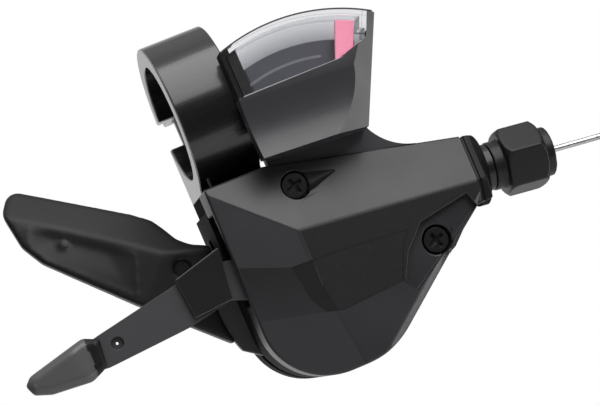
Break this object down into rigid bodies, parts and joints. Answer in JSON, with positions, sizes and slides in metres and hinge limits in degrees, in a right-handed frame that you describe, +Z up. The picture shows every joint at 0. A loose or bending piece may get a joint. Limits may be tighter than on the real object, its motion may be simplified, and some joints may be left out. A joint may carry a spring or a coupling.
{
  "type": "trigger gear shifter",
  "caption": "Right-hand trigger gear shifter for a flat handlebar: hinged thumb lever and release lever on a faceted body, clear gear display, bar clamp and cable adjuster.",
  "frame": {"origin": "centre of the handlebar clamp's bore, in the middle of its width", "axes": "+X along the handlebar towards the cable exit, +Z up towards the gear display, -Y is the front where the cover is"},
  "size_m": [0.1474, 0.0405, 0.0809],
  "materials": {
    "clamp_black": "black anodised, half gloss",
    "bolt_steel": "zinc plated",
    "cover_plastic": "fine grain, satin",
    "case_plastic": "satin",
    "pod_plastic": "satin",
    "paddle_plastic": "satin",
    "lever_black": "black, satin",
    "cap_plastic": "half gloss",
    "lens_clear": "clear",
    "scale_dark": "satin",
    "needle_red": "bright red",
    "screw_black": "black oxide",
    "inner_steel": "plain",
    "drum_plastic": "satin",
    "knob_plastic": "satin",
    "wire_steel": "stranded",
    "tie_plastic": "satin"
  },
  "bodies": {
    "base": {"clamp_band": "clamp_black", "clamp_bolt": "bolt_steel", "foot_screw": "bolt_steel", "base_bracket": "inner_steel", "main_axle": "inner_steel", "axle_clip": "inner_steel", "axle_spacer": "inner_steel", "rear_case": "case_plastic", "front_cover": "cover_plastic", "cover_screws": "screw_black", "indicator_housing": "pod_plastic", "indicator_lens": "lens_clear", "gear_scale": "scale_dark", "needle_pin": "inner_steel", "holding_pawl_pin": "inner_steel", "lever_spring": "inner_steel", "release_spring": "inner_steel", "adjuster_spring": "inner_steel", "inner_cable": "wire_steel", "free_cable": "wire_steel", "cable_coil": "wire_steel", "coil_tie": "tie_plastic"},
    "thumb_lever": {"main_lever": "lever_black", "thumb_paddle": "paddle_plastic", "paddle_rivet": "inner_steel", "winding_pawl_pin": "inner_steel"},
    "winding_pawl": {"winding_pawl": "inner_steel"},
    "release": {"release_lever": "lever_black", "lever_shroud": "case_plastic", "finger_cap": "cap_plastic"},
    "spool": {"cable_spool": "drum_plastic", "winding_ratchet": "inner_steel", "holding_ratchet": "inner_steel", "return_spring": "inner_steel", "cable_head": "wire_steel"},
    "holding_pawl": {"holding_pawl": "inner_steel"},
    "needle": {"gear_needle": "needle_red"},
    "adjuster": {"barrel_adjuster": "knob_plastic", "adjuster_sleeve": "inner_steel"}
  },
  "joints": [
    {"name": "thumb_lever_push", "type": "hinge", "parent": "base", "child": "thumb_lever", "pos_m": [0.0105, 0, -0.036], "axis": [0, -1, 0], "range_deg": [0, 40], "stiffness_Nm_per_rad": 0.3},
    {"name": "winding_pawl_swing", "type": "hinge", "parent": "thumb_lever", "child": "winding_pawl", "pos_m": [0.02272, 0, -0.03155], "axis": [0, 1, 0], "range_deg": [0, 8], "stiffness_Nm_per_rad": 0.02},
    {"name": "release_pull", "type": "hinge", "parent": "base", "child": "release", "pos_m": [0.0105, 0, -0.036], "axis": [0, 1, 0], "range_deg": [0, 12], "stiffness_Nm_per_rad": 0.5},
    {"name": "holding_pawl_lift", "type": "hinge", "parent": "base", "child": "holding_pawl", "pos_m": [0.01095, 0, -0.04899], "axis": [0, 1, 0], "range_deg": [0, 8]},
    {"name": "spool_wind", "type": "hinge", "parent": "base", "child": "spool", "pos_m": [0.0105, 0, -0.036], "axis": [0, -1, 0], "range_deg": [0, 105]},
    {"name": "needle_sweep", "type": "hinge", "parent": "base", "child": "needle", "pos_m": [0.0154, 0, -0.0266], "axis": [0, -1, 0], "range_deg": [0, 32]},
    {"name": "adjuster_turn", "type": "hinge", "parent": "base", "child": "adjuster", "pos_m": [0.05833, -0.0029, -0.03201], "axis": [0.9914, 0, -0.1305], "continuous": true}
  ],
  "couplings": [
    {"joint": "needle_sweep", "follows": "spool_wind", "ratio": 0.30476},
    {"joint": "holding_pawl_lift", "follows": "release_pull", "ratio": 0.66667}
  ]
}
